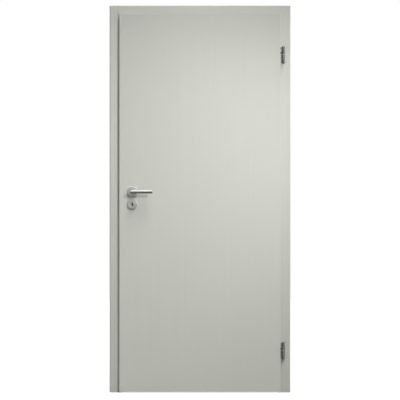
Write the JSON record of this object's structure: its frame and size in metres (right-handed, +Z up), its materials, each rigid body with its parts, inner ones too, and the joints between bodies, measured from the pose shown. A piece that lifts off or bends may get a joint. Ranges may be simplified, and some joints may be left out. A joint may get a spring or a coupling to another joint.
{
  "type": "interior door",
  "caption": "Rebated interior door leaf in light grey laminate, hung in its wrap-around casing, with a round lever handle and two lift-off hinges",
  "frame": {"origin": "on the wall face of the hinge-side lining, at floor level, in the middle of the wall", "axes": "+X to the hinge side, +Y from the seen face to the room behind, +Z up"},
  "size_m": [0.958, 0.2335, 2.05],
  "materials": {
    "grey_laminate": "fine-pored laminate on board, satin",
    "core_timber": "planed softwood",
    "core_board": "raw particle board",
    "seal_rubber": "matt grey",
    "stainless_steel": "finely brushed",
    "hinge_steel": "matt nickel",
    "bearing_nylon": "moulded",
    "zinc_steel": "zinc plated"
  },
  "bodies": {
    "frame": {"hinge_side_lining": "grey_laminate", "hinge_side_front_trim": "grey_laminate", "hinge_side_back_trim": "grey_laminate", "hinge_side_seal": "seal_rubber", "lock_side_lining": "grey_laminate", "lock_side_front_trim": "grey_laminate", "lock_side_back_trim": "grey_laminate", "lock_side_seal": "seal_rubber", "head_lining": "grey_laminate", "head_front_trim": "grey_laminate", "head_back_trim": "grey_laminate", "head_seal": "seal_rubber", "strike_plate": "stainless_steel", "upper_hinge_frame_part": "hinge_steel", "upper_hinge_pin": "hinge_steel", "upper_hinge_ring": "bearing_nylon", "lower_hinge_frame_part": "hinge_steel", "lower_hinge_pin": "hinge_steel", "lower_hinge_ring": "bearing_nylon"},
    "leaf": {"front_skin": "grey_laminate", "back_skin": "grey_laminate", "hinge_stile": "core_timber", "lock_stile": "core_timber", "top_rail": "core_timber", "bottom_rail": "core_timber", "lock_block": "core_timber", "core_infill": "core_board", "hinge_edge_strip": "grey_laminate", "lock_edge_strip": "grey_laminate", "top_edge_strip": "grey_laminate", "lock_forend": "stainless_steel", "lock_case": "zinc_steel", "latch_bolt": "zinc_steel", "dead_bolt": "zinc_steel", "front_handle_rose": "stainless_steel", "back_handle_rose": "stainless_steel", "front_key_rose": "stainless_steel", "back_key_rose": "stainless_steel", "upper_hinge_leaf_part": "hinge_steel", "lower_hinge_leaf_part": "hinge_steel"},
    "handle": {"front_lever": "stainless_steel", "back_lever": "stainless_steel", "spindle": "zinc_steel", "lock_follower": "zinc_steel"}
  },
  "joints": [
    {"name": "door_swing", "type": "hinge", "parent": "frame", "child": "leaf", "pos_m": [0.011, -0.092, 0], "axis": [0, 0, 1], "range_deg": [0, 170]},
    {"name": "lever_turn", "type": "hinge", "parent": "leaf", "child": "handle", "pos_m": [-0.7865, -0.0775, 1.062], "axis": [0, 1, 0], "range_deg": [0, 40], "stiffness_Nm_per_rad": 1.5, "springref_deg": -22.92}
  ]
}
